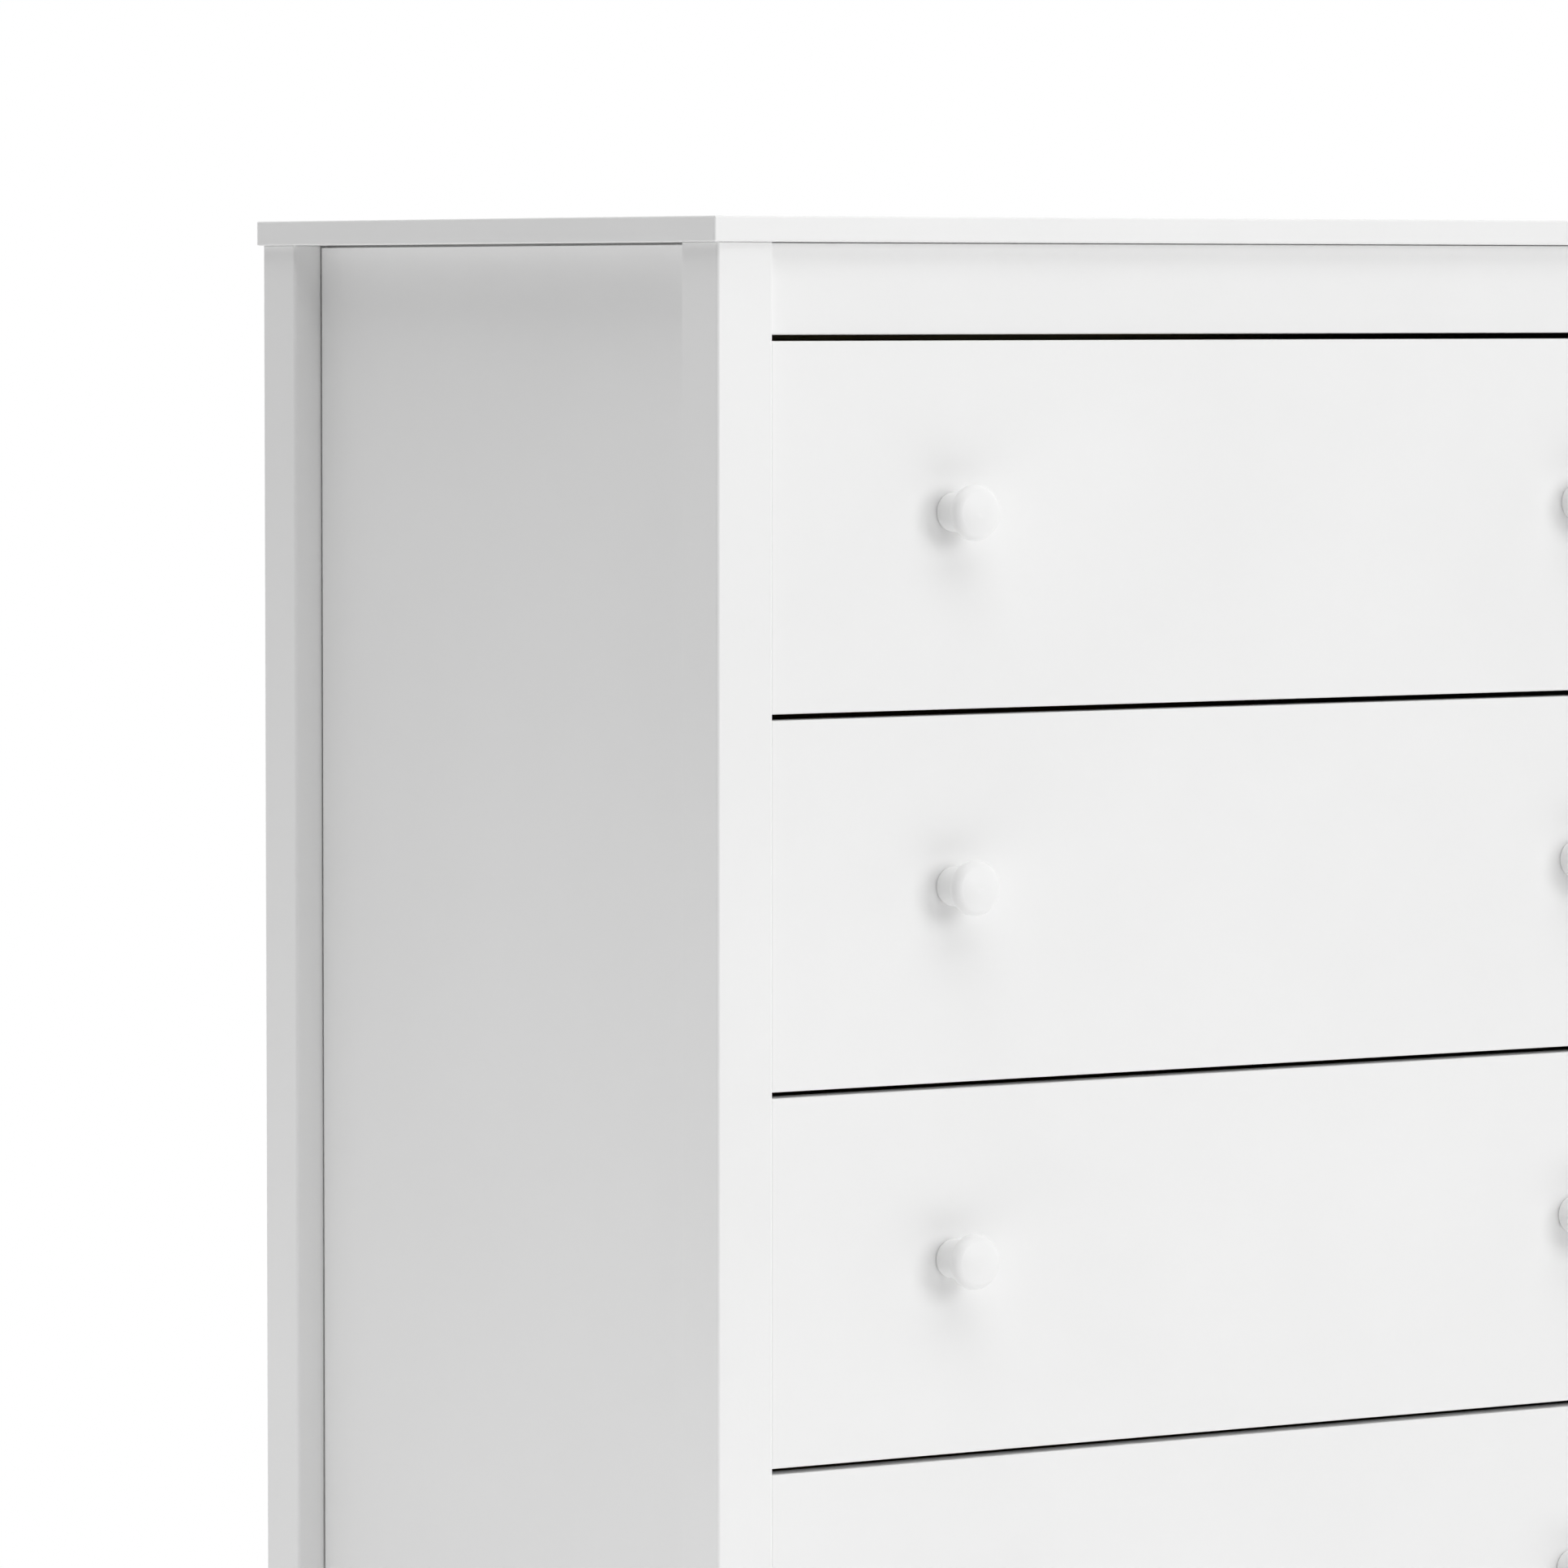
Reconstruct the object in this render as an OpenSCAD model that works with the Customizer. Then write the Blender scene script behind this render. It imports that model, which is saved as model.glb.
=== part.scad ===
// Tall chest of drawers: square corner posts, recessed side panels and a stack of
// inset drawers that roll on slides, with two turned knobs on each drawer.
// X is right, -Y is the front and Z is up. The origin is on the floor, under the
// middle of the box that holds the whole chest. Drawer 1 is the top one.
// Every board joint is a cam lock with its bolt, beside dowels glued into one board.

/* [Carcass] */
// Width over the corner posts
carcass_w = 730; // [700:5:760]
// Depth over the corner posts
carcass_d = 468; // [464:1:480]
// Side of each square corner post
post = 35; // [34:0.5:37]
// Height of the two front rails
rail_h = 48.85; // [45:0.05:60]
// Thickness of the four rails
rail_t = 16; // [15:0.5:18]
// How far the front rails sit behind the posts
rail_recess = 7; // [4:0.5:8]
// Height of each back rail
back_rail_h = 60; // [55:1:80]
// Clear height under the side panels and the rails
leg_clear = 65.4; // [50:0.1:90]
// Thickness of each side panel
panel_t = 18; // [16:0.5:18]
// Thickness of the back panel
back_t = 3; // [3:0.5:4]
// How far the back panel sits in front of the back of the posts
back_recess = 4; // [2:0.5:6]

/* [Top board] */
// Thickness of the top board
top_t = 13.6; // [13:0.1:18]
// How far the top board stands out beyond the posts at each side
top_side_lip = 4; // [2:0.5:8]
// How far the top board stands out beyond the posts at the front
top_front_lip = 3.5; // [2:0.5:8]

/* [Drawers] */
// How many drawers are in the stack
drawer_count = 5; // [3:1:5]
// Height from one drawer to the next
drawer_pitch = 200; // [190:1:215]
// Gap above and below each drawer front
drawer_gap = 3.3; // [2:0.1:5]
// Gap beside each drawer front
side_gap = 1.6; // [1.5:0.1:3]
// Thickness of each drawer front
front_t = 15; // [15:0.5:18]
// How far the drawer fronts sit behind the posts
front_recess = 4; // [2:0.5:5]
// Depth of the drawer box behind its front
box_d = 400; // [400:1:402]
// Height of the drawer box
box_h = 150; // [140:1:160]
// Thickness of the box sides and back
box_t = 12; // [12:0.5:13]
// Thickness of the drawer bottom
bottom_t = 3; // [2.5:0.1:3]
// Height of the box above the lower edge of the front
box_lift = 16; // [14:0.5:20]

/* [Edges] */
// Rounding of the posts' upright edges
post_round = 1.8; // [1:0.1:4]
// Rounding of the level edges of the posts, the rails and the drawer boxes
level_round = 0.8; // [0.3:0.1:1.2]
// Rounding of the edges of the top board and the drawer fronts
face_round = 1; // [0.3:0.1:1.5]

/* [Knobs] */
// Distance between the two knobs of a drawer
knob_spacing = 425; // [300:0.5:500]
// Height of the knobs below the top gap of their drawer
knob_drop = 93; // [80:0.1:100]
// Radius of the head
knob_r = 15; // [14:0.1:17]
// Radius of the straight neck
knob_neck_r = 10.7; // [8:0.1:11]
// How far the knob stands out from the drawer front
knob_len = 28; // [24:0.1:32]
// Rounding of the head's rim
knob_rim = 5; // [4:0.1:8]
// Radius of the shallow dome on the head
knob_dome = 36; // [30:0.5:60]

/* [Drawer slides] */
// Space for the slide between the drawer box and the carcass
slide_w = 12.5; // [12.5:0.1:13]
// Length of each slide
slide_len = 400; // [396:1:400]
// Height of the slide's carcass track
track_h = 34; // [34:0.5:38]
// Thickness of the slide's sheet steel
sheet = 1.2; // [1:0.1:1.2]
// Radius of each roller
roller_r = 10; // [9:0.1:10]
// Width of each roller
roller_w = 6.4; // [6:0.1:6.4]
// Radius of each roller's axle
axle_r = 2.5; // [2:0.1:3]
// Space between a roller and the track it runs on
roller_gap = 0.3; // [0.2:0.05:0.4]

/* [Feet] */
// Radius of the foot glides
glide_r = 11; // [9:0.5:14]
// Thickness of the foot glides
glide_t = 4; // [3:0.5:6]

/* [Hidden] */
$fn = 64;
drawer_parts = ["front", "sides", "back", "bottom", "knobs", "screws", "runners", "rollers"];

white = [0.95, 0.95, 0.94];
birch = [0.87, 0.78, 0.62];
faced_white = [0.93, 0.93, 0.91];
hardboard = [0.55, 0.42, 0.30];
steel = [0.72, 0.72, 0.74];
slide_white = [0.90, 0.90, 0.90];
nylon = [0.96, 0.96, 0.94];

fit = 0.05;            // radial play of every fastener in its hole
nudge = 0.01;          // lets a cut pass cleanly through a face

// Carcass planes
half_w = carcass_w / 2;
half_open = half_w - post;
back_y = (carcass_d + knob_len - front_recess) / 2;
front_y = back_y - carcass_d;
top_z = leg_clear + 2 * rail_h + drawer_gap + drawer_count * drawer_pitch;
panel_mid_x = half_open + panel_t / 2;
panel_out_x = -half_open - panel_t;
panel_front_y = front_y + post;
panel_back_y = back_y - post;
front_rail_y = front_y + rail_recess;
back_panel_y = back_y - back_recess - back_t;
back_rail_y = back_panel_y - rail_t;
rebate_w = 8;          // how far the back panel runs onto each back post
rebate_play = 0.3;
shadow_w = 1.4;        // open joint between the side panel and the back post
shadow_top = 1.4;      // open joint between the side panel and the top board
shadow_d = 4;
quirk = 3;             // how far that joint widens into the back post
rail_joint = 0.6;      // open joint between the top front rail and the top board

// Height of the gap under a level of the stack: level 0 is under the lowest drawer
function gap_z(level) = leg_clear + rail_h + drawer_gap / 2 + level * drawer_pitch;
function front_low(n) = gap_z(drawer_count - n) + drawer_gap / 2;
function front_high(n) = gap_z(drawer_count - n + 1) - drawer_gap / 2;
function box_low(n) = front_low(n) + box_lift;

// Drawer planes
front_back_y = front_y + front_recess + front_t;
box_half = half_open - slide_w;
box_inner = box_half - box_t;
box_back_y = front_back_y + box_d;
box_tail = 4;          // how far the box sides run on behind the box back
back_board_y = box_back_y - box_tail - box_t;
groove_z = 12;         // height of the bottom's groove above the box's lower edge
groove_d = 6;
groove_play = 0.2;     // how much taller the groove is than the bottom
back_low = 10;         // how far the box back stops below the box sides
knob_x = knob_spacing / 2;

// Fasteners
cam_r = 7.5;
cam_inset = 24;        // from the board's edge to the middle of its cam
cam_pocket = 12.5;     // deepest pocket; a thinner board gets a shallower one
cam_skin = 2.5;        // wood left behind a pocket
cam_socket_r = 3;      // cross corner radius of the cam's square driver socket
cam_socket_d = 1.5;
bolt_r = 2.5;
bolt_len = 11;         // how far a cam bolt goes into the second board
dowel_r = 4;
dowel_len = 14;
nail_r = 0.7;
nail_head_r = 1.8;
nail_head_t = 0.6;
tail = 0.5;            // how much deeper a blind hole is than what goes into it
screw_head_t = 1.6;

/* Shapes that repeat */

module block(from, to) {
    translate(from)
        cube(to - from);
}

// Rectangle with round corners, from one corner to the opposite one
module round_rect(from, to, r) {
    translate([from.x + r, from.y])
        square([to.x - from.x - 2 * r, to.y - from.y]);
    translate([from.x, from.y + r])
        square([to.x - from.x, to.y - from.y - 2 * r]);
    for (x = [from.x + r, to.x - r])
        for (y = [from.y + r, to.y - r])
            translate([x, y])
                circle(r = r, $fn = 32);
}

// Blocks with the edges along one axis rounded
module round_block_x(from, to, r) {
    translate([from.x, 0, 0])
        rotate([90, 0, 90])
            linear_extrude(to.x - from.x)
                round_rect([from.y, from.z], [to.y, to.z], r);
}

module round_block_y(from, to, r) {
    translate([0, to.y, 0])
        rotate([90, 0, 0])
            linear_extrude(to.y - from.y)
                round_rect([from.x, from.z], [to.x, to.z], r);
}

module round_block_z(from, to, r) {
    translate([0, 0, from.z])
        linear_extrude(to.z - from.z)
            round_rect([from.x, from.y], [to.x, to.y], r);
}

// Block with all its edges rounded
module soft_block(from, to, upright_r, level_r) {
    intersection() {
        round_block_z(from, to, upright_r);
        round_block_x(from, to, level_r);
        round_block_y(from, to, level_r);
    }
}

// Round bar between two points that differ along one axis only
module bar(from, to, r, sides = 64) {
    way = to - from;
    turn = way.x != 0 ? [0, 90 * sign(way.x), 0]
         : way.y != 0 ? [-90 * sign(way.y), 0, 0]
         : [way.z > 0 ? 0 : 180, 0, 0];
    translate(from)
        rotate(turn)
            cylinder(r = r, h = norm(way), $fn = sides);
}

// The same thing on the left and, mirrored, on the right
module both_sides() {
    children();
    mirror([1, 0, 0])
        children();
}

// What a screw at a point cuts: its shank, going in along a direction
module pilot(at, way, length, r) {
    bar(at - nudge * way, at + (length + tail) * way, r + fit);
}

// Pan-head screw whose head rests at a point, with a square driver socket
module screw(at, way, length, r, head_r, head_t = screw_head_t) {
    difference() {
        union() {
            bar(at - head_t * way, at, head_r);
            bar(at - head_t / 2 * way, at + length * way, r);
        }
        bar(at - 2 * head_t * way, at - head_t / 3 * way, head_r / 2, 4);
    }
}

// Cam joint at a point on the plane between two boards. way goes from the board with
// the cam into the other one, face is the side of the first board that the cam opens on,
// and t is the first board's thickness.
function cam_middle(at, way) = at - cam_inset * way;
function cam_face(at, way, face, t) = cam_middle(at, way) + t / 2 * face;
function cam_depth(t) = min(cam_pocket, t - cam_skin);

module cam_cut(at, way, face, t) {
    mouth = cam_face(at, way, face, t);
    bar(mouth + nudge * face, mouth - cam_depth(t) * face, cam_r + fit);
    bar(at + nudge * way, cam_middle(at, way), bolt_r + fit);
}

module bolt_cut(at, way) {
    bar(at - nudge * way, at + (bolt_len + tail) * way, bolt_r + fit);
}

module cam_set(at, way, face, t) {
    mouth = cam_face(at, way, face, t);
    middle = cam_middle(at, way);
    difference() {
        bar(mouth - 0.1 * face, mouth - (cam_depth(t) - 0.1) * face, cam_r);
        bar(middle - way, middle + 2 * cam_r * way, bolt_r + fit);
        bar(mouth + face, mouth - cam_socket_d * face, cam_socket_r, 4);
    }
    bar(middle - 0.5 * way, at + bolt_len * way, bolt_r);
}

module dowel(at, way) {
    bar(at - 2 * way, at + dowel_len * way, dowel_r);
}

module dowel_cut(at, way) {
    bar(at - nudge * way, at + (dowel_len + tail) * way, dowel_r + fit);
}

/* Where the left half of the carcass is joined */

// Side panel to its posts: a cam at every other level and a dowel at every level
panel_ends = [[panel_front_y, -1], [panel_back_y, 1]];
panel_cams = [for (end = panel_ends) for (k = [0:2:drawer_count - 1])
    [[-panel_mid_x, end[0], gap_z(k) + 100], [0, end[1], 0]]];
panel_dowels = [for (end = panel_ends) for (k = [0:drawer_count - 1])
    [[-panel_mid_x, end[0], gap_z(k) + 150], [0, end[1], 0]]];

// Each rail to its post: a cam in the middle of its height and a dowel below it
rail_mid_y = front_rail_y + rail_t / 2;
back_rail_mid_y = back_rail_y + rail_t / 2;
function rail_cam(y, low, high) = [-half_open, y, (low + high) / 2 + 4];
function rail_dowel(y, low, high) = [-half_open, y, (low + high) / 2 - 14];
left = [-1, 0, 0];
right = [1, 0, 0];
back = [0, 1, 0];
front = [0, -1, 0];
up = [0, 0, 1];
// Middle line, lower edge, upper edge and the face that the cams open on
rails = [
    [rail_mid_y, top_z - rail_h, top_z, back],
    [rail_mid_y, leg_clear, leg_clear + rail_h, back],
    [back_rail_mid_y, top_z - back_rail_h, top_z, front],
    [back_rail_mid_y, leg_clear, leg_clear + back_rail_h, front]];
front_rails = [rails[0], rails[1]];
back_rails = [rails[2], rails[3]];

// Top board to the side panels and to the upper rails
top_panel_cams = [for (y = [-0.25, 0.25]) [-panel_mid_x, y * carcass_d, top_z]];
top_rail_cams = [for (rail = [rails[0], rails[2]]) [-0.42 * half_open, rail[0], top_z]];
top_dowel = [-panel_mid_x, 0, top_z];
top_dowel_len = 8;
top_bolt_len = bolt_len - 2;    // the top board is thin, so its bolts go in less far

// Screws of the slides, along the depth
track_screw_y = [-170, 0, 170];
runner_screw_y = [-160, 0, 150];

// Holes through the back panel and the upper back rail, for a strap to the wall
anchor_x = 120;
anchor_r = 2.5;
anchor_z = top_z - 36;
nail_step_x = 110;
nail_step_z = 100;

/* Carcass */

module top_board() {
    color(white)
        difference() {
            soft_block([-half_w - top_side_lip, front_y - top_front_lip, top_z],
                       [half_w + top_side_lip, back_y, top_z + top_t], face_round, face_round);
            both_sides() {
                for (at = concat(top_panel_cams, top_rail_cams))
                    bar(at - nudge * up, at + (top_bolt_len + tail) * up, bolt_r + fit);
                bar(top_dowel - nudge * up, top_dowel + (top_dowel_len + tail) * up, dowel_r + fit);
            }
        }
}

glide_stem_r = 2;
glide_stem_len = 12;

module glide_stem_cut(x, y) {
    pilot([x, y, glide_t], up, glide_stem_len, glide_stem_r);
}

module left_front_post_shape() {
    difference() {
        soft_block([-half_w, front_y, glide_t], [-half_open, front_y + post, top_z],
                   post_round, level_round);
        glide_stem_cut(-half_w + post / 2, front_y + post / 2);
        for (joint = panel_cams)
            if (joint[1].y < 0)
                bolt_cut(joint[0], joint[1]);
        for (joint = panel_dowels)
            if (joint[1].y < 0)
                dowel_cut(joint[0], joint[1]);
        for (rail = front_rails) {
            bolt_cut(rail_cam(rail[0], rail[1], rail[2]), left);
            dowel_cut(rail_dowel(rail[0], rail[1], rail[2]), left);
        }
    }
}

module left_back_post_shape() {
    difference() {
        soft_block([-half_w, back_y - post, glide_t], [-half_open, back_y, top_z],
                   post_round, level_round);
        // rebate for the back panel
        block([-half_open - rebate_w - rebate_play, back_panel_y - fit, leg_clear - rebate_play],
              [-half_open + nudge, back_y + nudge, top_z + nudge]);
        // the open joint of the side panel
        block([panel_out_x, panel_back_y - nudge, leg_clear],
              [panel_out_x + shadow_d, panel_back_y + quirk, top_z + nudge]);
        glide_stem_cut(-half_w + post / 2, back_y - post / 2);
        for (joint = panel_cams)
            if (joint[1].y > 0)
                bolt_cut(joint[0], joint[1]);
        for (joint = panel_dowels)
            if (joint[1].y > 0)
                dowel_cut(joint[0], joint[1]);
        for (rail = back_rails) {
            bolt_cut(rail_cam(rail[0], rail[1], rail[2]), left);
            dowel_cut(rail_dowel(rail[0], rail[1], rail[2]), left);
        }
        for (at = post_nails)
            pilot(at, front, nail_len, nail_r);
    }
}

module front_left_post() {
    color(white)
        left_front_post_shape();
}

module front_right_post() {
    color(white)
        mirror([1, 0, 0])
            left_front_post_shape();
}

module back_left_post() {
    color(white)
        left_back_post_shape();
}

module back_right_post() {
    color(white)
        mirror([1, 0, 0])
            left_back_post_shape();
}

module left_panel_shape() {
    difference() {
        union() {
            block([panel_out_x, panel_front_y, leg_clear], [-half_open, panel_back_y, top_z]);
            for (joint = panel_dowels)
                dowel(joint[0], joint[1]);
            bar(top_dowel - 2 * up, top_dowel + top_dowel_len * up, dowel_r);
        }
        // the open joints that show as dark lines
        block([panel_out_x - nudge, panel_back_y - shadow_w, leg_clear - nudge],
              [panel_out_x + shadow_d, panel_back_y + nudge, top_z + nudge]);
        block([panel_out_x - nudge, panel_front_y - nudge, top_z - shadow_top],
              [panel_out_x + shadow_d, panel_back_y, top_z + nudge]);
        for (joint = panel_cams)
            cam_cut(joint[0], joint[1], right, panel_t);
        for (at = top_panel_cams)
            cam_cut(at, up, right, panel_t);
        for (n = [1:drawer_count])
            for (y = track_screw_y)
                pilot([-half_open, y, track_screw_z(n)], left, track_screw_len - sheet, track_screw_r);
    }
}

module left_side_panel() {
    color(white)
        left_panel_shape();
}

module right_side_panel() {
    color(white)
        mirror([1, 0, 0])
            left_panel_shape();
}

// Rail between two posts, with its end dowels and its cam pockets
module rail_board(y, low, high, face) {
    difference() {
        union() {
            round_block_x([-half_open, y - rail_t / 2, low],
                          [half_open, y + rail_t / 2, high], level_round);
            both_sides()
                dowel(rail_dowel(y, low, high), left);
        }
        both_sides()
            cam_cut(rail_cam(y, low, high), left, face, rail_t);
    }
}

module top_front_rail() {
    color(white)
        difference() {
            rail_board(rails[0][0], rails[0][1], rails[0][2], rails[0][3]);
            // the open joint that shows as a dark line
            block([-half_open - nudge, front_rail_y - nudge, top_z - rail_joint],
                  [half_open + nudge, front_rail_y + shadow_d, top_z + nudge]);
            both_sides()
                cam_cut(top_rail_cams[0], up, back, rail_t);
        }
}

module bottom_front_rail() {
    color(white)
        rail_board(rails[1][0], rails[1][1], rails[1][2], rails[1][3]);
}

module rail_nail_holes(z) {
    for (at = rail_nails(z))
        pilot(at, front, nail_len, nail_r);
}

module anchor_holes() {
    both_sides()
        bar([anchor_x, back_rail_y - 1, anchor_z], [anchor_x, back_y + 1, anchor_z], anchor_r);
}

module top_back_rail() {
    color(birch)
        difference() {
            rail_board(rails[2][0], rails[2][1], rails[2][2], rails[2][3]);
            both_sides()
                cam_cut(top_rail_cams[1], up, front, rail_t);
            rail_nail_holes(top_nail_z);
            anchor_holes();
        }
}

module bottom_back_rail() {
    color(birch)
        difference() {
            rail_board(rails[3][0], rails[3][1], rails[3][2], rails[3][3]);
            rail_nail_holes(low_nail_z);
        }
}

module back_panel() {
    color(hardboard)
        difference() {
            block([-half_open - rebate_w, back_panel_y, leg_clear],
                  [half_open + rebate_w, back_panel_y + back_t, top_z - rebate_play]);
            both_sides()
                for (at = post_nails)
                    pilot(at, front, nail_len, nail_r);
            rail_nail_holes(top_nail_z);
            rail_nail_holes(low_nail_z);
            anchor_holes();
        }
}

// Nails through the back panel
nail_len = 13;
nail_y = back_panel_y + back_t;
top_nail_z = top_z - 20;
low_nail_z = leg_clear + 20;
post_nails = [for (z = [gap_z(0) + 50:nail_step_z:top_z - 60])
    [-half_open - rebate_w / 2, nail_y, z]];
function rail_nails(z) = [for (x = [-2.5:1:2.5]) [x * nail_step_x, nail_y, z]];

// One plastic glide: a disc with a rounded lower edge, and a stem
module foot_glide() {
    round_r = 1.5;
    rotate_extrude() {
        square([glide_r - round_r, glide_t]);
        translate([0, round_r])
            square([glide_r, glide_t - round_r]);
        translate([glide_r - round_r, round_r])
            circle(r = round_r);
    }
    translate([0, 0, glide_t - nudge])
        cylinder(r = glide_stem_r, h = glide_stem_len);
}

module foot_glides() {
    color(nylon)
        both_sides()
            for (y = [front_y + post / 2, back_y - post / 2])
                translate([half_w - post / 2, y, 0])
                    foot_glide();
}

/* Drawer slides. Each is drawn on the left; v is the distance in from the carcass side. */

slide_setback = 3;     // space between a drawer front and its slides
track_foot_w = 10;
track_lip_w = 8;
runner_lip_v = 4;      // how close the runner's lip comes to the carcass side
slide_tail = 2;        // how far the runner's lip stops before the box's back end
track_y = front_back_y + slide_setback;
track_back_y = track_y + slide_len;
roller_z = sheet + roller_r + roller_gap;
flange_z = roller_z + roller_r + roller_gap;
track_screw_len = 13;
track_screw_r = 2;
track_screw_head = 3.5;
function track_low(n) = box_low(n) - sheet;
function track_screw_z(n) = track_low(n) + 12;
roller_inset = roller_r + 2;    // from the slide's end to a roller's axle
front_roller_y = track_y + roller_inset;
rear_roller_y = track_back_y - roller_inset;
roller_play = 0.4;     // side play of a roller between its sheet and its axle's head
roller_rim = 2;        // width of a roller's rim and of its hub's wall
roller_dish = 1.2;     // how deep the face between them is
axle_head_r = 4;
axle_head_t = 0.8;

// Box of a slide, from distances in from the carcass side and heights above the track
module slide_block(n, v0, v1, y0, y1, z0, z1) {
    block([-half_open + v0, y0, track_low(n) + z0], [-half_open + v1, y1, track_low(n) + z1]);
}

// Riveted axle with a flat head, standing out from v0 towards v1
module axle(n, y, v0, v1) {
    z = track_low(n) + roller_z;
    way = sign(v1 - v0);
    bar([-half_open + v0 - way * sheet / 2, y, z], [-half_open + v1, y, z], axle_r);
    bar([-half_open + v1, y, z], [-half_open + v1 + way * axle_head_t, y, z], axle_head_r);
}

axle_len = roller_w + 2 * roller_play;

module left_track(n) {
    difference() {
        union() {
            slide_block(n, 0, sheet, track_y, track_back_y, 0, track_h);
            slide_block(n, 0, track_foot_w, track_y, track_back_y, 0, sheet);
            slide_block(n, 0, track_lip_w, track_y, track_back_y, track_h - sheet, track_h);
            slide_block(n, 0, track_lip_w, track_back_y - sheet, track_back_y, 0, track_h);
            axle(n, front_roller_y, sheet, sheet + axle_len);
        }
        for (y = track_screw_y)
            pilot([-half_open + sheet, y, track_screw_z(n)], left, sheet, track_screw_r);
    }
}

module cabinet_runners() {
    color(slide_white)
        both_sides()
            for (n = [1:drawer_count])
                left_track(n);
}

// Roller with a raised hub, its axis along X and its middle plane at x
module roller(x, y, z) {
    translate([x, y, z])
        rotate([0, 90, 0])
            difference() {
                cylinder(r = roller_r, h = roller_w, center = true);
                cylinder(r = axle_r + fit, h = roller_w + 1, center = true);
                for (way = [-1, 1])
                    translate([0, 0, way * roller_w / 2])
                        difference() {
                            cylinder(r = roller_r - roller_rim, h = 2 * roller_dish, center = true);
                            cylinder(r = axle_r + roller_rim, h = 3 * roller_dish, center = true);
                        }
            }
}

module cabinet_rollers(n) {
    color(nylon)
        both_sides()
            roller(-half_open + sheet + axle_len / 2, front_roller_y, track_low(n) + roller_z);
}

module carcass_fasteners() {
    color(steel)
        both_sides() {
            for (joint = panel_cams)
                cam_set(joint[0], joint[1], right, panel_t);
            for (rail = rails)
                cam_set(rail_cam(rail[0], rail[1], rail[2]), left, rail[3], rail_t);
            for (at = top_panel_cams)
                top_cam_set(at, right, panel_t);
            top_cam_set(top_rail_cams[0], back, rail_t);
            top_cam_set(top_rail_cams[1], front, rail_t);
            for (n = [1:drawer_count])
                for (y = track_screw_y)
                    screw([-half_open + sheet, y, track_screw_z(n)], left, track_screw_len,
                          track_screw_r, track_screw_head);
            for (at = post_nails)
                nail(at);
            for (z = [top_nail_z, low_nail_z])
                for (at = rail_nails(z))
                    if (at.x < 0)
                        nail(at);
        }
}

// Cam set of the top board, whose bolt is cut short
module top_cam_set(at, face, t) {
    difference() {
        cam_set(at, up, face, t);
        block(at + [-bolt_len, -bolt_len, top_bolt_len], at + bolt_len * [1, 1, 1.1]);
    }
}

module nail(at) {
    bar(at + nail_head_t * back, at, nail_head_r);
    bar(at + nail_head_t / 2 * back, at + nail_len * front, nail_r);
}

/* Drawers */

// Front to box side: cams open inside the box
box_cam_z = [48, 118];
box_dowel_z = [30, 83, 135];
back_screw_z = [45, 115];
bottom_screw_x = [-200, 0, 200];
front_joint_x = box_half - box_t / 2;
small_dowel_r = 3;
small_dowel_len = 10;
back_screw_head = 2.2;
back_screw_r = 1.75;
back_screw_head_r = 3.5;
back_screw_len = box_t - back_screw_head + 25;
runner_screw_r = 1.75;
runner_screw_head_r = 3.2;
runner_screw_len = 9;
runner_screw_z = 6;    // height above the box's lower edge
bottom_screw_r = 1.25;
bottom_screw_head_r = 2.5;
bottom_screw_head = 1;
bottom_screw_len = bottom_t + 10;
function knob_z(n) = gap_z(drawer_count - n + 1) - knob_drop;
function box_cam(n, z) = [-front_joint_x, front_back_y, box_low(n) + z];
function back_screw(n, z) = [-box_half + back_screw_head, back_board_y + box_t / 2, box_low(n) + z];
function bottom_screw(n, x) = [x, back_board_y + box_t / 2, box_low(n) + groove_z + groove_play / 2];
function runner_screw(n, y) = [-box_half - sheet, y, box_low(n) + runner_screw_z];
function knob_screw(n) = [-knob_x, front_back_y, knob_z(n)];
knob_screw_r = 2;
knob_screw_play = 0.25;
knob_screw_head_r = 4.5;
knob_screw_head = 2.2;
knob_thread = 11;      // how far the screw goes into the knob

module drawer_front(n) {
    low = box_low(n) + groove_z;
    color(white)
        difference() {
            soft_block([-half_open + side_gap, front_back_y - front_t, front_low(n)],
                       [half_open - side_gap, front_back_y, front_high(n)],
                       face_round, face_round);
            // groove for the bottom
            block([-box_inner - groove_d, front_back_y - groove_d, low],
                  [box_inner + groove_d, front_back_y + nudge, low + bottom_t + groove_play]);
            both_sides() {
                for (z = box_cam_z)
                    bolt_cut(box_cam(n, z), front);
                for (z = box_dowel_z)
                    bar(box_cam(n, z) + nudge * back,
                        box_cam(n, z) + (small_dowel_len + tail) * front, small_dowel_r + fit);
                bar(knob_screw(n) + nudge * back, knob_screw(n) + (front_t + 1) * front,
                    knob_screw_r + knob_screw_play);
            }
        }
}

module left_box_side(n) {
    z = box_low(n);
    difference() {
        union() {
            round_block_y([-box_half, front_back_y, z], [-box_inner, box_back_y, z + box_h],
                          level_round);
            for (dz = box_dowel_z)
                bar(box_cam(n, dz) + back, box_cam(n, dz) + small_dowel_len * front,
                    small_dowel_r);
        }
        block([-box_inner - groove_d, front_back_y - nudge, z + groove_z],
              [-box_inner + nudge, box_back_y + nudge, z + groove_z + bottom_t + groove_play]);
        for (dz = box_cam_z)
            cam_cut(box_cam(n, dz), front, right, box_t);
        for (dz = back_screw_z) {
            at = back_screw(n, dz);
            bar(at + (back_screw_head + nudge) * left, at, back_screw_head_r + fit);
            bar(at + 0.5 * left, at + box_t * right, back_screw_r + fit);
        }
        for (y = runner_screw_y)
            pilot([-box_half, y, z + runner_screw_z], right, runner_screw_len - sheet,
                  runner_screw_r);
    }
}

module drawer_sides(n) {
    color(birch)
        both_sides()
            left_box_side(n);
}

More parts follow.
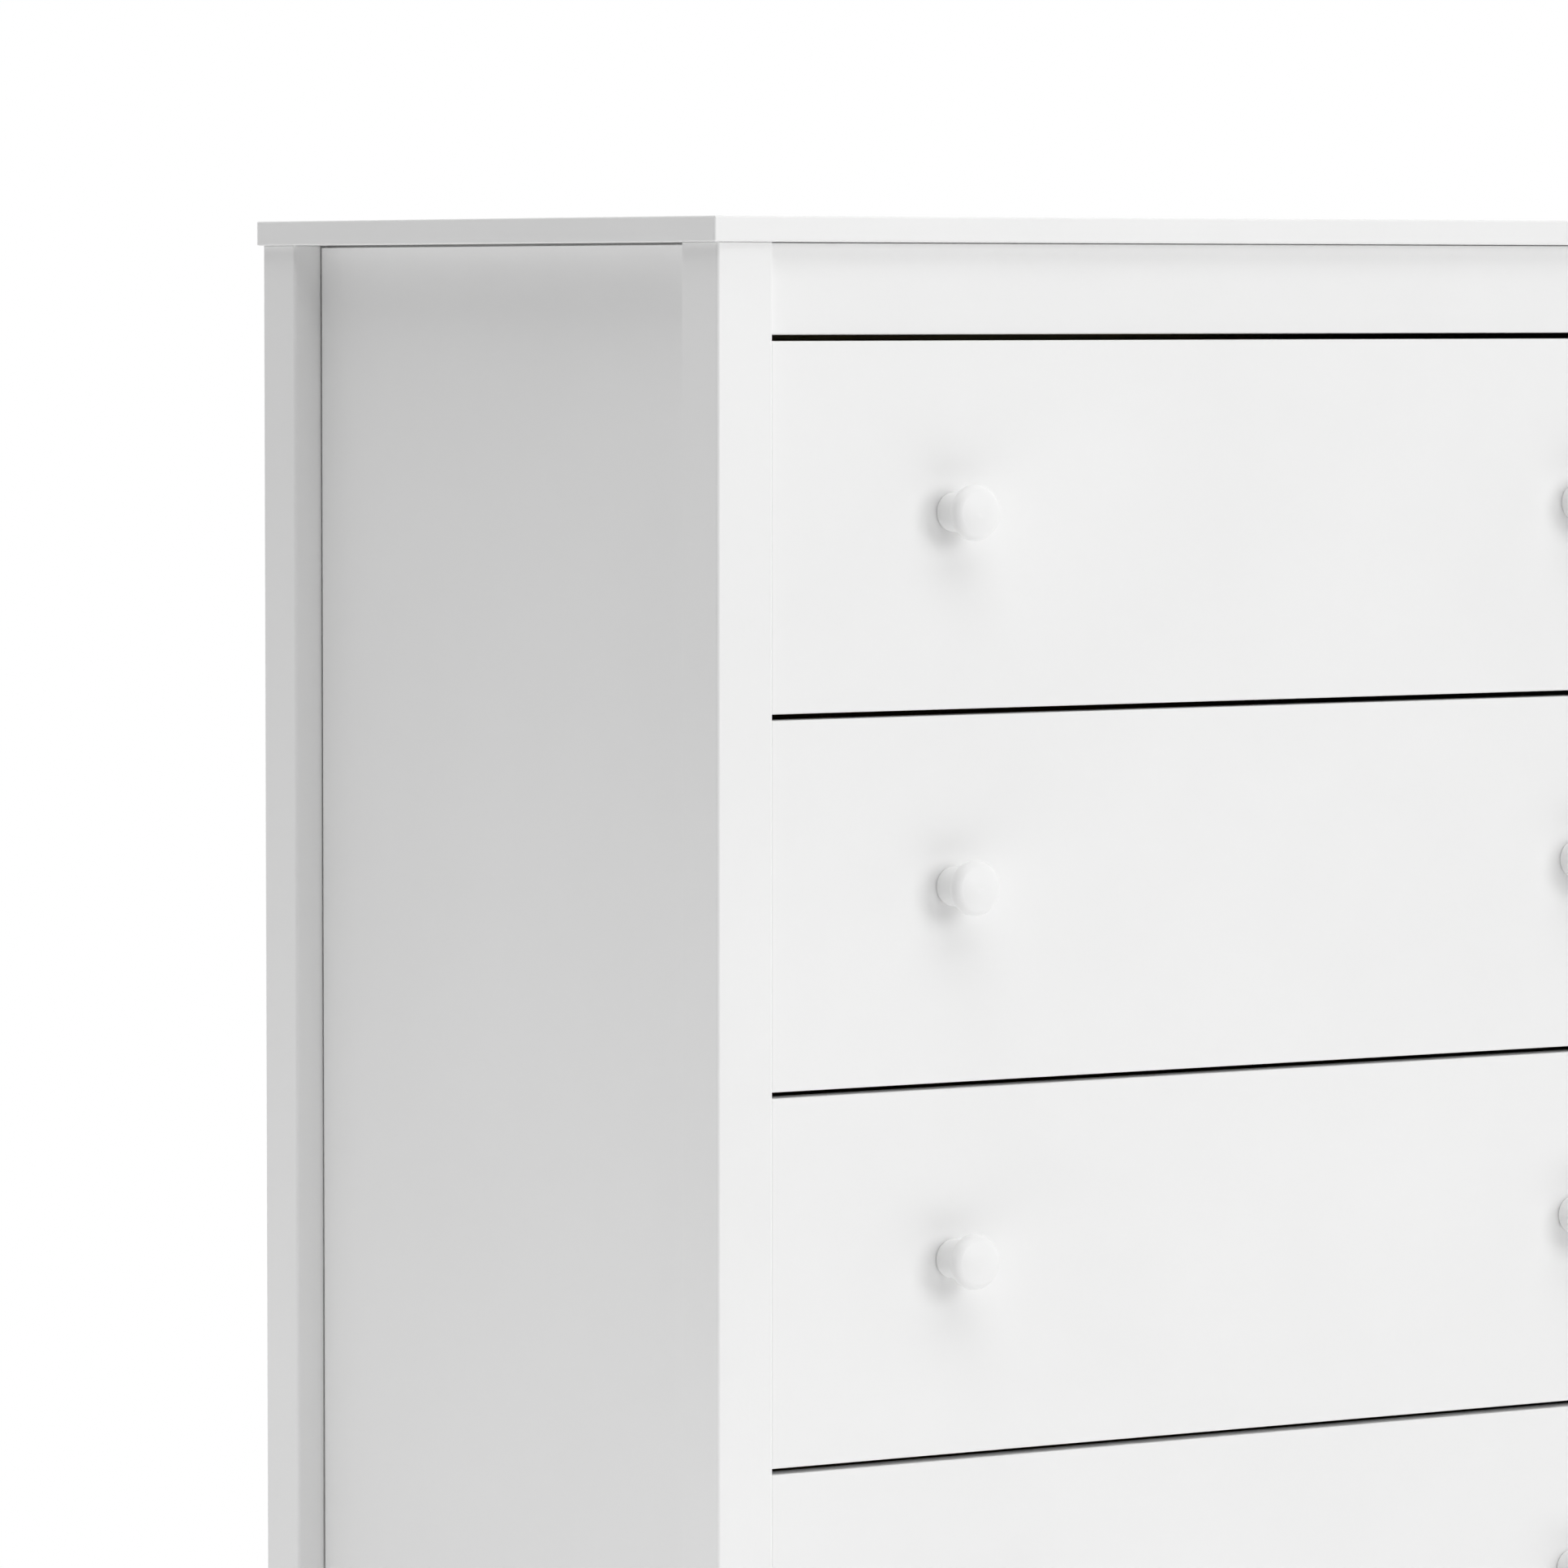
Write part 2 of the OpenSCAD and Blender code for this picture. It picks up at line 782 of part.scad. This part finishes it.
module drawer_back(n) {
    z = box_low(n);
    color(birch)
        difference() {
            round_block_x([-box_inner, back_board_y, z + groove_z + bottom_t + groove_play],
                          [box_inner, back_board_y + box_t, z + box_h - back_low], level_round);
            both_sides()
                for (dz = back_screw_z)
                    pilot(back_screw(n, dz), right, back_screw_len, back_screw_r);
            for (x = bottom_screw_x)
                pilot(bottom_screw(n, x), up, bottom_screw_len, bottom_screw_r);
        }
}

module drawer_bottom(n) {
    z = box_low(n) + groove_z + groove_play / 2;
    color(faced_white)
        difference() {
            block([-box_inner - groove_d + tail, front_back_y - groove_d + tail, z],
                  [box_inner + groove_d - tail, back_board_y + box_t, z + bottom_t]);
            for (x = bottom_screw_x)
                pilot(bottom_screw(n, x), up, bottom_screw_len, bottom_screw_r);
        }
}

// Turned knob: a straight neck under a thick rounded head with a shallow dome
knob_dome_low = knob_len - knob_dome;
knob_base_round = 1.8;
knob_rim_mid = knob_dome_low
    + sqrt(pow(knob_dome - knob_rim, 2) - pow(knob_r - knob_rim, 2));

module knob_profile() {
    rim_x = knob_r - knob_rim;
    square([knob_neck_r - knob_base_round, knob_rim_mid]);
    translate([0, knob_base_round])
        square([knob_neck_r, knob_rim_mid - knob_base_round]);
    translate([knob_neck_r - knob_base_round, knob_base_round])
        circle(r = knob_base_round);
    translate([rim_x, knob_rim_mid])
        intersection() {
            circle(r = knob_rim);
            translate([-rim_x, -knob_rim])
                square([knob_r, 2 * knob_rim]);
        }
    // dome, as wide as the circle where it meets the rim smoothly
    meet = rim_x * knob_dome / (knob_dome - knob_rim);
    intersection() {
        translate([0, knob_dome_low])
            circle(r = knob_dome, $fn = 160);
        translate([0, knob_rim_mid])
            square([meet, knob_len]);
    }
}

module drawer_knobs(n) {
    color(white)
        both_sides()
            translate([-knob_x, front_back_y - front_t, knob_z(n)])
                rotate([90, 0, 0])
                    difference() {
                        rotate_extrude($fn = 96)
                            knob_profile();
                        translate([0, 0, -nudge])
                            cylinder(r = knob_screw_r + fit, h = knob_thread + 1);
                    }
}

module drawer_screws(n) {
    color(steel)
        both_sides() {
            for (z = box_cam_z)
                cam_set(box_cam(n, z), front, right, box_t);
            screw(knob_screw(n), front, front_t + knob_thread, knob_screw_r,
                  knob_screw_head_r, knob_screw_head);
            for (z = back_screw_z)
                screw(back_screw(n, z), right, back_screw_len, back_screw_r,
                      back_screw_head_r, back_screw_head);
            for (y = runner_screw_y)
                screw(runner_screw(n, y), right, runner_screw_len, runner_screw_r,
                      runner_screw_head_r);
        }
    color(steel)
        for (x = bottom_screw_x)
            screw(bottom_screw(n, x), up, bottom_screw_len, bottom_screw_r,
                  bottom_screw_head_r, bottom_screw_head);
}

module left_runner(n) {
    v_box = slide_w;
    difference() {
        union() {
            slide_block(n, v_box - sheet, v_box, track_y, box_back_y, 0, flange_z + sheet);
            slide_block(n, v_box - sheet, v_box + track_foot_w, track_y, box_back_y, 0, sheet);
            slide_block(n, runner_lip_v, v_box, track_y, box_back_y - slide_tail,
                        flange_z, flange_z + sheet);
            axle(n, rear_roller_y, v_box - sheet, v_box - sheet - axle_len);
        }
        for (y = runner_screw_y)
            pilot(runner_screw(n, y), right, sheet, runner_screw_r);
    }
}

module drawer_runners(n) {
    color(slide_white)
        both_sides()
            left_runner(n);
}

module drawer_rollers(n) {
    color(nylon)
        both_sides()
            roller(-half_open + slide_w - sheet - axle_len / 2, rear_roller_y,
                   track_low(n) + roller_z);
}

top_board();
front_left_post();
front_right_post();
back_left_post();
back_right_post();
left_side_panel();
right_side_panel();
back_panel();
top_front_rail();
bottom_front_rail();
top_back_rail();
bottom_back_rail();
foot_glides();
cabinet_runners();
carcass_fasteners();
for (n = [1:drawer_count]) {
    drawer_front(n);
    drawer_sides(n);
    drawer_back(n);
    drawer_bottom(n);
    drawer_knobs(n);
    drawer_screws(n);
    drawer_runners(n);
    drawer_rollers(n);
    cabinet_rollers(n);
}
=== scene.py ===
import math

import bpy
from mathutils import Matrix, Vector

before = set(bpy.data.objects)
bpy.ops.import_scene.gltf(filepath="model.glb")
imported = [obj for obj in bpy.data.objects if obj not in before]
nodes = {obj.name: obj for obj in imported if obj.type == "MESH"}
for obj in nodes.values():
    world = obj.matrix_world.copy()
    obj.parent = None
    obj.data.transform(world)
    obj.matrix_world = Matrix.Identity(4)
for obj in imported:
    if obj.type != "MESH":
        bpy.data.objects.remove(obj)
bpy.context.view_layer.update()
scene = bpy.context.scene
DRAWERS = range(1, 6)

# ---------------------------------------------------------------- camera
# From the front left, a little below the top board
CAMERA_AT = (-2.975, -4.187, 1.137)
CAMERA_TURN = 33.775          # degrees to the right of straight ahead, +Y
CAMERA_TILT = 3.072           # degrees down
CAMERA_LENS = 207.98          # millimetres
SENSOR_WIDTH = 36             # millimetres
CAMERA_REACH = 50             # metres


def add_camera():
    camera = bpy.data.objects.new("camera", bpy.data.cameras.new("camera"))
    scene.collection.objects.link(camera)
    camera.location = CAMERA_AT
    camera.rotation_euler = (math.radians(90 - CAMERA_TILT), 0, -math.radians(CAMERA_TURN))
    camera.data.sensor_width = SENSOR_WIDTH
    camera.data.lens = CAMERA_LENS
    camera.data.clip_end = CAMERA_REACH
    scene.camera = camera


add_camera()

# ---------------------------------------------------------------- materials
# Every texture is read in the object's own coordinates, which are the frame's metres.
# Colours are linear red, green and blue, and depths are metres.
ALONG = {"X": 0, "Y": 1, "Z": 2}
NOISE_SPREAD = (0.3, 0.7)     # most of a noise texture's values lie between these
MIX_COLOURS = (6, 7)          # a Mix node's two colour inputs
MIX_COLOUR_OUT = 2            # and its colour output


class Surface:
    """A material built up from noise around one Principled shader."""

    def __init__(self, name, roughness=0.5, metallic=0.0, specular=0.5):
        self.material = bpy.data.materials.new(name)
        self.material.use_nodes = True
        self.tree = self.material.node_tree
        self.shader = self.tree.nodes["Principled BSDF"]
        self.shader.inputs["Roughness"].default_value = roughness
        self.shader.inputs["Metallic"].default_value = metallic
        self.shader.inputs["Specular IOR Level"].default_value = specular
        self.place = self.node("ShaderNodeTexCoord").outputs["Object"]
        self.normal = None

    def node(self, kind):
        return self.tree.nodes.new(kind)

    def feed(self, socket, source):
        self.tree.links.new(source, socket)

    def stretched(self, grain, ratio):
        """Coordinates squeezed along one axis, so that a texture runs in streaks along it."""
        scale = [1.0, 1.0, 1.0]
        scale[ALONG[grain]] = ratio
        mapping = self.node("ShaderNodeMapping")
        mapping.inputs["Scale"].default_value = scale
        self.feed(mapping.inputs["Vector"], self.place)
        return mapping.outputs["Vector"]

    def noise(self, scale, detail=3.0, roughness=0.5, place=None, distortion=0.0):
        noise = self.node("ShaderNodeTexNoise")
        noise.inputs["Scale"].default_value = scale
        noise.inputs["Detail"].default_value = detail
        noise.inputs["Roughness"].default_value = roughness
        noise.inputs["Distortion"].default_value = distortion
        self.feed(noise.inputs["Vector"], place or self.place)
        return noise.outputs["Fac"]

    def remap(self, source, low, high, to_low=0, to_high=1):
        """Stretches the values between low and high to those between to_low and to_high."""
        remap = self.node("ShaderNodeMapRange")
        for socket, number in zip(("From Min", "From Max", "To Min", "To Max"),
                                  (low, high, to_low, to_high)):
            remap.inputs[socket].default_value = number
        self.feed(remap.inputs["Value"], source)
        return remap.outputs["Result"]

    def blend(self, factor, first, second):
        """Colour between two colours, either of which may come from another node."""
        mix = self.node("ShaderNodeMix")
        mix.data_type = "RGBA"
        self.feed(mix.inputs["Factor"], factor)
        for slot, colour in zip(MIX_COLOURS, (first, second)):
            socket = mix.inputs[slot]
            if isinstance(colour, bpy.types.NodeSocket):
                self.feed(socket, colour)
            else:
                socket.default_value = (*colour, 1)
        return mix.outputs[MIX_COLOUR_OUT]

    def clouded(self, noise, first, second):
        """Colour that drifts between two colours."""
        return self.blend(self.remap(noise, *NOISE_SPREAD), first, second)

    def colour(self, source):
        self.feed(self.shader.inputs["Base Color"], source)

    def gloss(self, source, smooth, rough):
        spread = self.remap(source, *NOISE_SPREAD, smooth, rough)
        self.feed(self.shader.inputs["Roughness"], spread)

    def bump(self, height, depth):
        """Adds relief of a depth on top of any relief the surface already has."""
        bump = self.node("ShaderNodeBump")
        bump.inputs["Strength"].default_value = 1.0
        bump.inputs["Distance"].default_value = depth
        self.feed(bump.inputs["Height"], height)
        if self.normal:
            self.feed(bump.inputs["Normal"], self.normal)
        self.normal = bump.outputs["Normal"]
        self.feed(self.shader.inputs["Normal"], self.normal)


def satin_paint(name, grain=None):
    """Sprayed satin white: a trace of orange peel, and of the wood's grain on solid wood."""
    surface = Surface(name, specular=0.45)
    cloud = surface.noise(5, detail=2)
    surface.colour(surface.clouded(cloud, (0.855, 0.855, 0.853), (0.875, 0.875, 0.873)))
    surface.gloss(surface.noise(40, detail=4), 0.34, 0.44)
    surface.bump(surface.noise(420, detail=2), 0.00003)
    if grain:
        streaks = surface.noise(260, detail=5, roughness=0.6,
                                place=surface.stretched(grain, 0.03))
        surface.bump(streaks, 0.00004)
    return surface.material


def pale_wood(name, grain):
    """Clear-coated birch: soft bands, darker fibres and fine pores along the grain."""
    surface = Surface(name, specular=0.35)
    bands = surface.noise(14, detail=3, distortion=0.6, place=surface.stretched(grain, 0.12))
    fibres = surface.noise(190, detail=6, roughness=0.65, place=surface.stretched(grain, 0.03))
    pores = surface.noise(900, detail=2, place=surface.stretched(grain, 0.02))
    base = surface.blend(surface.remap(bands, 0.35, 0.65),
                         (0.66, 0.50, 0.33), (0.76, 0.62, 0.44))
    toned = surface.blend(surface.remap(fibres, 0.45, 0.75, 0, 0.45), base, (0.52, 0.36, 0.21))
    surface.colour(surface.blend(surface.remap(pores, 0.6, 0.75, 0, 0.35), toned,
                                 (0.36, 0.23, 0.13)))
    surface.gloss(fibres, 0.42, 0.58)
    surface.bump(fibres, 0.00008)
    surface.bump(pores, 0.00004)
    return surface.material


def faced_board(name):
    """Thin board with a printed white face, slightly clouded."""
    surface = Surface(name, specular=0.4)
    cloud = surface.noise(9, detail=3)
    specks = surface.noise(700, detail=2)
    base = surface.clouded(cloud, (0.80, 0.79, 0.76), (0.84, 0.83, 0.81))
    surface.colour(surface.blend(surface.remap(specks, 0.62, 0.8, 0, 0.3), base,
                                 (0.66, 0.64, 0.60)))
    surface.gloss(cloud, 0.4, 0.5)
    surface.bump(specks, 0.00003)
    return surface.material


def hardboard(name):
    """Brown pressed fibres: mottled, with short dark and light threads."""
    surface = Surface(name, specular=0.3)
    cloud = surface.noise(7, detail=5)
    fibres = surface.noise(330, detail=6, roughness=0.7, distortion=1.2)
    threads = surface.noise(1100, detail=3, distortion=2.0)
    base = surface.clouded(cloud, (0.30, 0.185, 0.105), (0.37, 0.235, 0.14))
    toned = surface.blend(surface.remap(fibres, 0.45, 0.7, 0, 0.6), base, (0.46, 0.32, 0.20))
    surface.colour(surface.blend(surface.remap(threads, 0.58, 0.75, 0, 0.6), toned,
                                 (0.17, 0.10, 0.055)))
    surface.gloss(fibres, 0.5, 0.66)
    surface.bump(fibres, 0.00010)
    return surface.material


def epoxy_steel(name):
    """White powder coat on sheet steel, with its fine pebbled surface."""
    surface = Surface(name, specular=0.5)
    cloud = surface.noise(12, detail=2)
    surface.colour(surface.clouded(cloud, (0.80, 0.80, 0.79), (0.83, 0.83, 0.825)))
    surface.gloss(surface.noise(60, detail=3), 0.24, 0.36)
    surface.bump(surface.noise(900, detail=2), 0.00005)
    return surface.material


def zinc(name):
    """Zinc plating with its faint blue and yellow clouds and fine scratches."""
    surface = Surface(name, metallic=1.0)
    cloud = surface.noise(90, detail=4)
    scratches = surface.noise(1500, detail=3, place=surface.stretched("X", 0.05))
    base = surface.blend(surface.remap(cloud, 0.35, 0.65),
                         (0.60, 0.62, 0.66), (0.70, 0.68, 0.62))
    surface.colour(surface.blend(surface.remap(scratches, 0.55, 0.75, 0, 0.4), base,
                                 (0.45, 0.45, 0.46)))
    surface.gloss(scratches, 0.28, 0.45)
    surface.bump(scratches, 0.00002)
    return surface.material


def moulded_plastic(name, deep, pale):
    """Moulded nylon: slightly see-through, with flow clouds and a fine matt skin."""
    surface = Surface(name, specular=0.4)
    surface.shader.inputs["Subsurface Weight"].default_value = 0.15
    surface.shader.inputs["Subsurface Scale"].default_value = 0.002
    cloud = surface.noise(150, detail=3, distortion=0.8)
    surface.colour(surface.clouded(cloud, deep, pale))
    surface.gloss(surface.noise(500, detail=3), 0.38, 0.52)
    surface.bump(surface.noise(1400, detail=2), 0.00003)
    return surface.material


PAINT = satin_paint("paint_smooth")
PAINT_ON = {axis: satin_paint(f"paint_grain_{axis}", axis) for axis in "XZ"}
WOOD_ON = {axis: pale_wood(f"birch_{axis}", axis) for axis in "XY"}
BOTTOM = faced_board("drawer_bottom_face")
BACK = hardboard("hardboard")
EPOXY = epoxy_steel("epoxy_steel")
ZINC = zinc("zinc")
NYLON = moulded_plastic("nylon", deep=(0.80, 0.79, 0.75), pale=(0.86, 0.85, 0.82))
GLIDE = moulded_plastic("glide_plastic", deep=(0.52, 0.51, 0.49), pale=(0.60, 0.59, 0.57))


def dress(name, material):
    mesh = nodes[name].data
    mesh.materials.clear()
    mesh.materials.append(material)


def dress_all():
    finish = {
        "top_board": PAINT, "left_side_panel": PAINT, "right_side_panel": PAINT,
        "top_front_rail": PAINT_ON["X"], "bottom_front_rail": PAINT_ON["X"],
        "top_back_rail": WOOD_ON["X"], "bottom_back_rail": WOOD_ON["X"],
        "back_panel": BACK, "foot_glides": GLIDE, "cabinet_runners": EPOXY,
        "carcass_fasteners": ZINC,
    }
    for corner in ("front_left", "front_right", "back_left", "back_right"):
        finish[f"{corner}_post"] = PAINT_ON["Z"]
    for n in DRAWERS:
        finish[f"drawer_{n}_front"] = PAINT
        finish[f"drawer_{n}_sides"] = WOOD_ON["Y"]
        finish[f"drawer_{n}_back"] = WOOD_ON["X"]
        finish[f"drawer_{n}_bottom"] = BOTTOM
        finish[f"drawer_{n}_knobs"] = PAINT
        finish[f"drawer_{n}_screws"] = ZINC
        finish[f"drawer_{n}_runners"] = EPOXY
        finish[f"drawer_{n}_rollers"] = NYLON
        finish[f"cabinet_rollers_{n}"] = NYLON
    for name, material in finish.items():
        dress(name, material)


dress_all()

# ---------------------------------------------------------------- knobs
KNOB_TIP = 0.00002            # depth of the flat tip of each knob's head


def calm_knob_tips():
    """Points the normals at the middle of each knob's head straight forward."""
    for n in DRAWERS:
        mesh = nodes[f"drawer_{n}_knobs"].data
        tip = min(vertex.co.y for vertex in mesh.vertices) + KNOB_TIP
        normals = [Vector(corner.vector) for corner in mesh.corner_normals]
        for loop in mesh.loops:
            if mesh.vertices[loop.vertex_index].co.y < tip:
                normals[loop.index] = Vector((0, -1, 0))
        mesh.normals_split_custom_set(normals)


calm_knob_tips()

# ---------------------------------------------------------------- floor
FLOOR_RADIUS = 2.6
FLOOR_SIDES = 96
FLOOR_FADE = 1.7              # radius at which the floor starts to fade into the ground
FLOOR_DROP = 0.0005           # how far it lies under the glides


def add_floor():
    mesh = bpy.data.meshes.new("floor")
    angles = [2 * math.pi * k / FLOOR_SIDES for k in range(FLOOR_SIDES)]
    rim = [(FLOOR_RADIUS * math.cos(a), FLOOR_RADIUS * math.sin(a), -FLOOR_DROP)
           for a in angles]
    mesh.from_pydata(rim, [], [tuple(range(FLOOR_SIDES))])
    floor = bpy.data.objects.new("floor", mesh)
    scene.collection.objects.link(floor)
    surface = Surface("floor_paper", specular=0.2)
    cloud = surface.noise(3, detail=2)
    surface.colour(surface.clouded(cloud, (0.84, 0.84, 0.84), (0.86, 0.86, 0.86)))
    surface.gloss(cloud, 0.7, 0.8)
    length = surface.node("ShaderNodeVectorMath")
    length.operation = "LENGTH"
    surface.feed(length.inputs[0], surface.place)
    fade = surface.remap(length.outputs["Value"], FLOOR_FADE, FLOOR_RADIUS)
    clear = surface.node("ShaderNodeBsdfTransparent")
    mix = surface.node("ShaderNodeMixShader")
    surface.feed(mix.inputs[0], fade)
    surface.feed(mix.inputs[1], surface.shader.outputs[0])
    surface.feed(mix.inputs[2], clear.outputs[0])
    surface.feed(surface.tree.nodes["Material Output"].inputs["Surface"], mix.outputs[0])
    mesh.materials.append(surface.material)


add_floor()

# ---------------------------------------------------------------- light
# How bright the studio is seen from the chest, towards each side of it
SKY = {"left": 0.124, "right": 1.100, "front": 0.0, "back": 1.045, "up": 0.526, "down": 1.182}
GROUND = 1.0                  # the studio behind the chest, as the camera sees it

LAMP_SIZE = 1.6               # side of each square lamp
LAMP_AWAY = 3.6               # from the middle of the chest
CHEST_MIDDLE = Vector((0, 0, 0.7))
# Degrees to the right of the front, degrees up, and watts
SOFTBOXES = {
    "key": (10, 15, 37.0),
    "key_high": (10, 50, 14.9),
    "front_left": (-25, 50, 14.2),
    "front_top": (-30, 72, 5.7),
    "left_top": (-80, 72, 23.6),
}
# Lamps lying face up beside the chest, for light off a bright floor: X, Y and watts
BOUNCES = {
    "bounce_left": (-1.5, 0, 9.5),
    "bounce_front": (0, -1.5, 5.4),
}
BOUNCE_HEIGHT = 0.02


def add_world():
    world = bpy.data.worlds.new("studio")
    scene.world = world
    world.use_nodes = True
    tree = world.node_tree
    tree.nodes.clear()
    link = tree.links.new

    def node(kind):
        return tree.nodes.new(kind)

    def combine(operation, first, second):
        maths = node("ShaderNodeMath")
        maths.operation = operation
        for socket, value in zip(maths.inputs, (first, second)):
            if isinstance(value, bpy.types.NodeSocket):
                link(value, socket)
            else:
                socket.default_value = value
        return maths.outputs[0]

    coordinates = node("ShaderNodeTexCoord")
    split = node("ShaderNodeSeparateXYZ")
    link(coordinates.outputs["Generated"], split.inputs[0])
    total = None
    for axis, low, high in (("X", "left", "right"), ("Y", "front", "back"), ("Z", "down", "up")):
        way = split.outputs[axis]
        square = combine("MULTIPLY", way, way)
        positive = combine("GREATER_THAN", way, 0.0)
        level = combine("MULTIPLY", positive, SKY[high] - SKY[low])
        level = combine("ADD", level, SKY[low])
        part = combine("MULTIPLY", square, level)
        total = part if total is None else combine("ADD", total, part)
    sky = node("ShaderNodeBackground")
    sky.inputs["Color"].default_value = (1, 1, 1, 1)
    link(total, sky.inputs["Strength"])
    ground = node("ShaderNodeBackground")
    ground.inputs["Color"].default_value = (1, 1, 1, 1)
    ground.inputs["Strength"].default_value = GROUND
    path = node("ShaderNodeLightPath")
    mix = node("ShaderNodeMixShader")
    link(path.outputs["Is Camera Ray"], mix.inputs[0])
    link(sky.outputs[0], mix.inputs[1])
    link(ground.outputs[0], mix.inputs[2])
    out = node("ShaderNodeOutputWorld")
    link(mix.outputs[0], out.inputs["Surface"])


def add_lamp(name, at, towards, power):
    light = bpy.data.lights.new(name, "AREA")
    light.shape = "SQUARE"
    light.size = LAMP_SIZE
    light.energy = power
    lamp = bpy.data.objects.new(name, light)
    scene.collection.objects.link(lamp)
    lamp.location = at
    lamp.rotation_euler = (towards - at).to_track_quat("-Z", "Y").to_euler()
    lamp.visible_camera = False


def add_lamps():
    for name, (turn, rise, power) in SOFTBOXES.items():
        turn, rise = math.radians(turn), math.radians(rise)
        way = Vector((math.sin(turn) * math.cos(rise), -math.cos(turn) * math.cos(rise),
                      math.sin(rise)))
        add_lamp(name, CHEST_MIDDLE + LAMP_AWAY * way, CHEST_MIDDLE, power)
    for name, (x, y, power) in BOUNCES.items():
        add_lamp(name, Vector((x, y, BOUNCE_HEIGHT)), Vector((x, y, 1)), power)


add_world()
add_lamps()
scene.view_settings.view_transform = "Standard"
